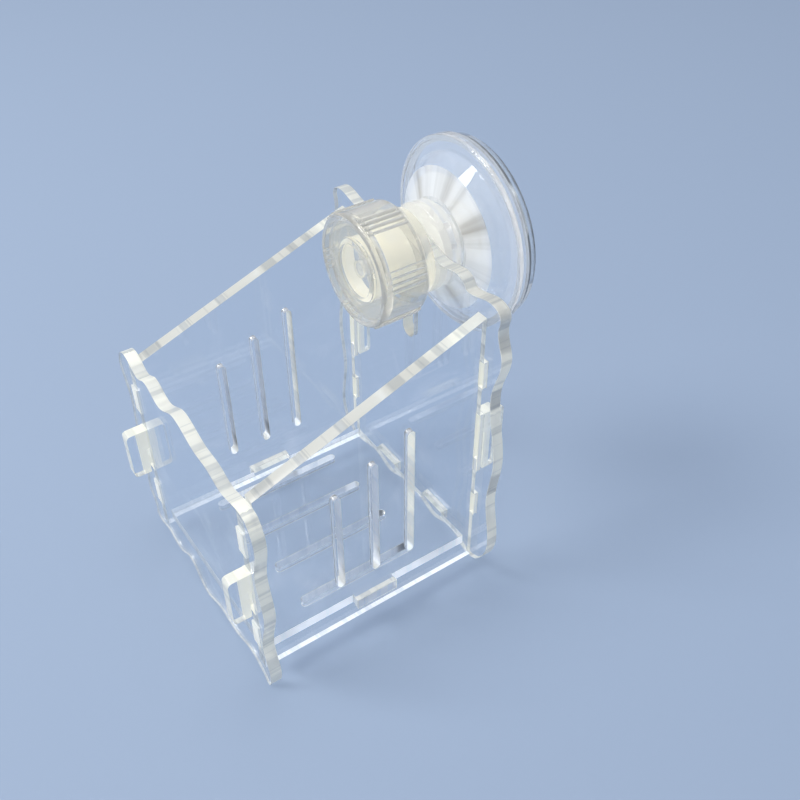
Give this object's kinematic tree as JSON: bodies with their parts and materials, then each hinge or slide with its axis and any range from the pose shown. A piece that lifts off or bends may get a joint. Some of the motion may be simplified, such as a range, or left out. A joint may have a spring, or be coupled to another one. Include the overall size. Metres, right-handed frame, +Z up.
{
  "type": "hanging aquarium basket",
  "caption": "Small open basket of clear slotted acrylic sheet with wavy end panels, hung on aquarium glass by a screw suction cup behind its tall rear panel.",
  "frame": {"origin": "centre of the suction cup's lip, on the plane of the glass it sticks to", "axes": "+Y into the glass, -Y towards the room, +Z up, +X to the right seen from the room"},
  "size_m": [0.0714, 0.0864, 0.1082],
  "materials": {
    "clear_acrylic": "water-clear cast acrylic with bright polished cut edges",
    "hard_clear": "clear moulded plastic, glossy",
    "soft_clear": "soft clear PVC, slightly milky, glossy"
  },
  "bodies": {
    "cup": {"cup_disc": "soft_clear", "stud": "hard_clear"},
    "cover": {"cup_cover": "hard_clear"},
    "swivel_washer": {"washer": "hard_clear"},
    "basket": {"front_panel": "clear_acrylic", "rear_panel": "clear_acrylic", "side_panel_left": "clear_acrylic", "side_panel_right": "clear_acrylic", "floor_panel": "clear_acrylic"},
    "knob": {"knob": "hard_clear"}
  },
  "joints": [
    {"name": "cover_release", "type": "slide", "parent": "cup", "child": "cover", "axis": [0, -1, 0], "range_m": [0, 0.002]},
    {"name": "knob_turn", "type": "hinge", "parent": "cover", "child": "knob", "pos_m": [0, -0.02, 0], "axis": [0, -1, 0], "range_deg": [0, 1028.6]},
    {"name": "basket_swivel", "type": "hinge", "parent": "cover", "child": "swivel_washer", "pos_m": [0, -0.015, 0], "axis": [0, -1, 0], "continuous": true},
    {"name": "basket_height", "type": "slide", "parent": "swivel_washer", "child": "basket", "axis": [0, 0, 1], "range_m": [0, 0.0222]}
  ],
  "couplings": [
    {"joint": "knob_turn", "follows": "cover_release", "rad_per_m": 8976}
  ]
}
